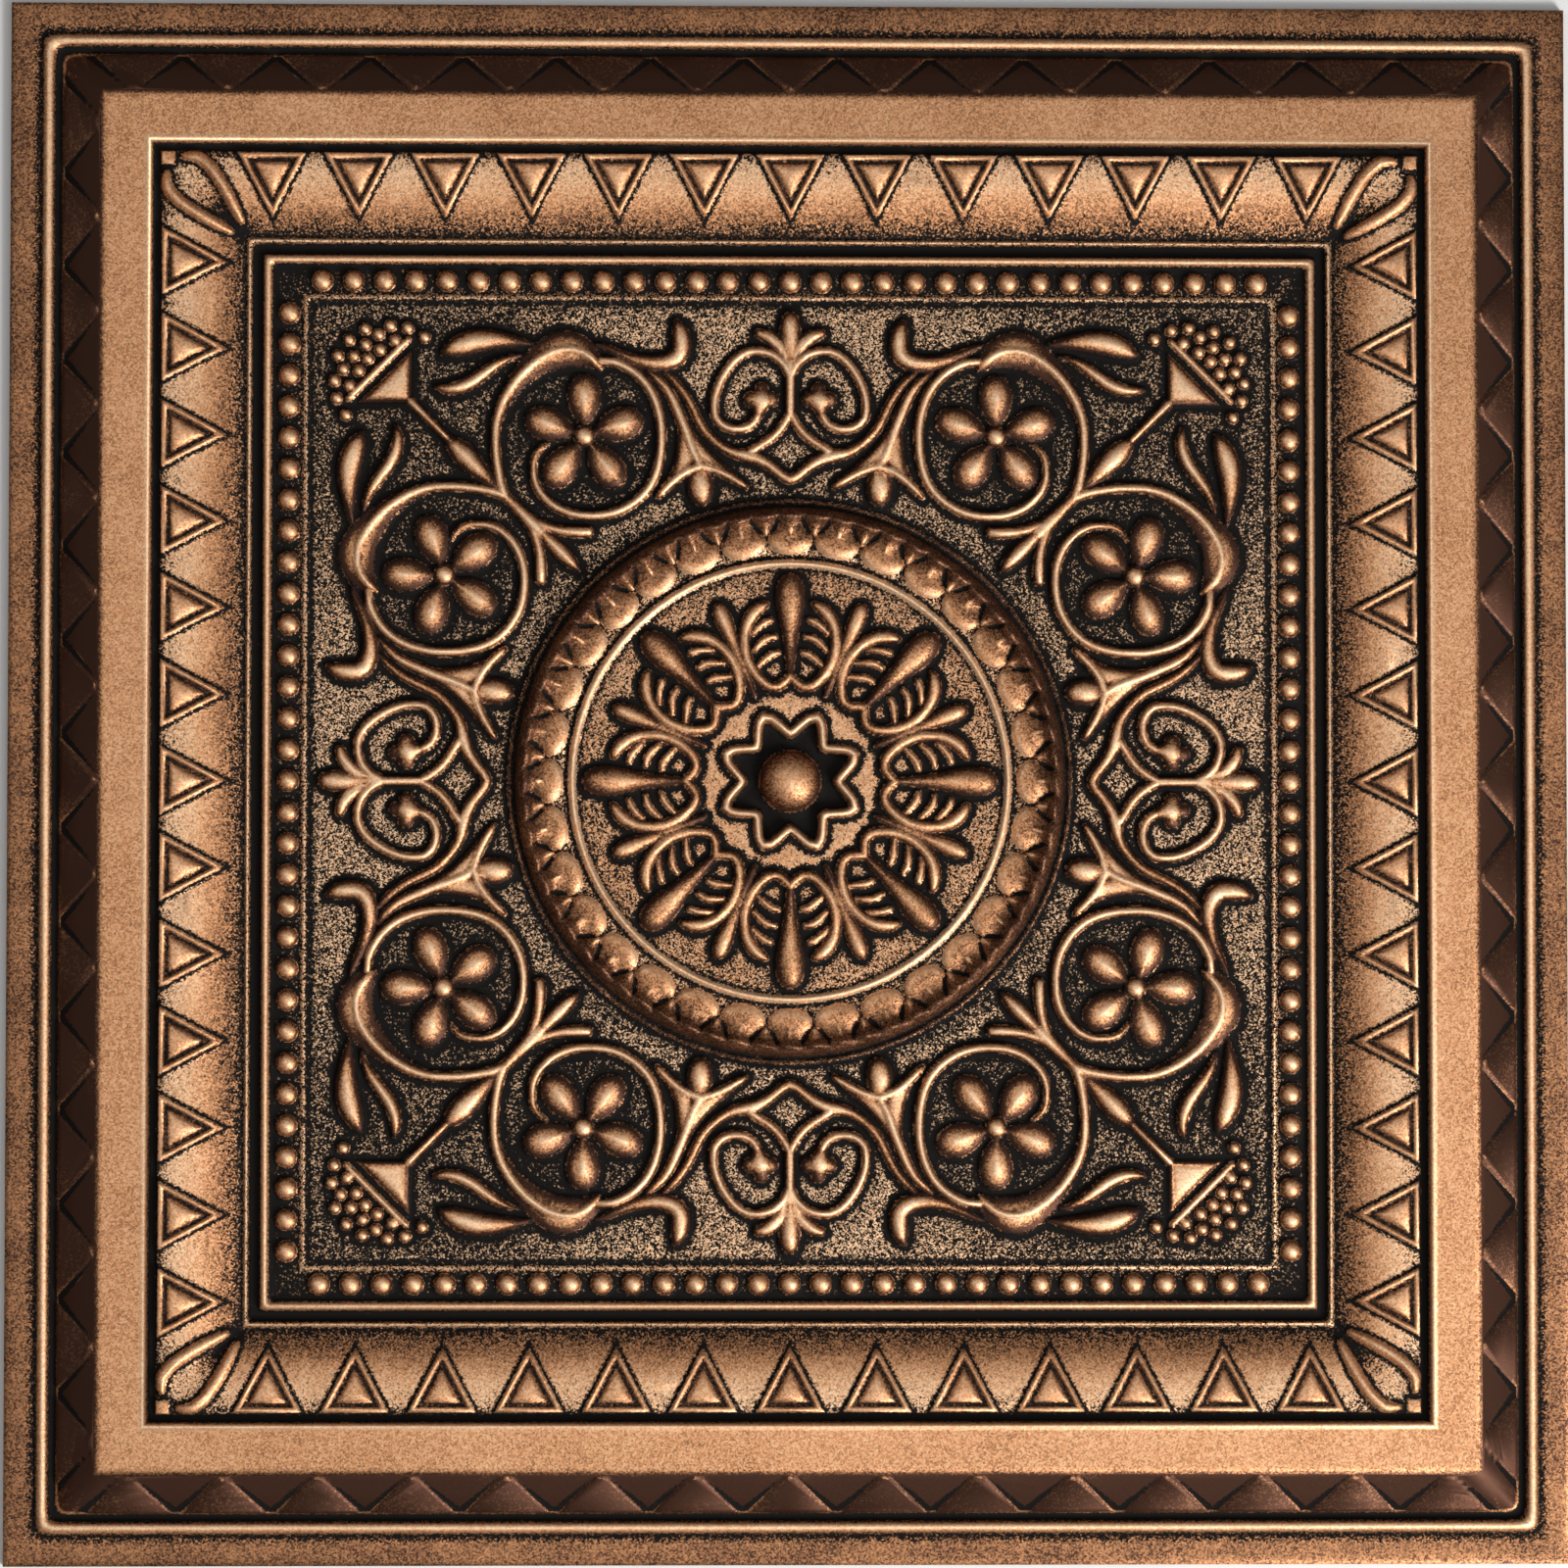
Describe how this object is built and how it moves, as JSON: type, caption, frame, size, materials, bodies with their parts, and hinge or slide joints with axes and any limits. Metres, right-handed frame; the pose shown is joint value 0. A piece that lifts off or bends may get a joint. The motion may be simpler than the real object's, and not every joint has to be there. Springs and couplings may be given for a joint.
{
  "type": "foam ceiling tile",
  "caption": "Square moulded foam ceiling tile with a stepped frame, toothed edge, cove of triangles, beaded border and a round rosette in a scrolled panel, painted antique copper.",
  "frame": {"origin": "middle of the flat back face", "axes": "+Z out of the decorated face, +X and +Y along the sides"},
  "size_m": [0.5, 0.5, 0.0138],
  "materials": {
    "copper_paint": "antique copper paint on white foam, black wash in the hollows"
  },
  "bodies": {
    "root": {"ceiling_tile": "copper_paint"}
  },
  "joints": []
}
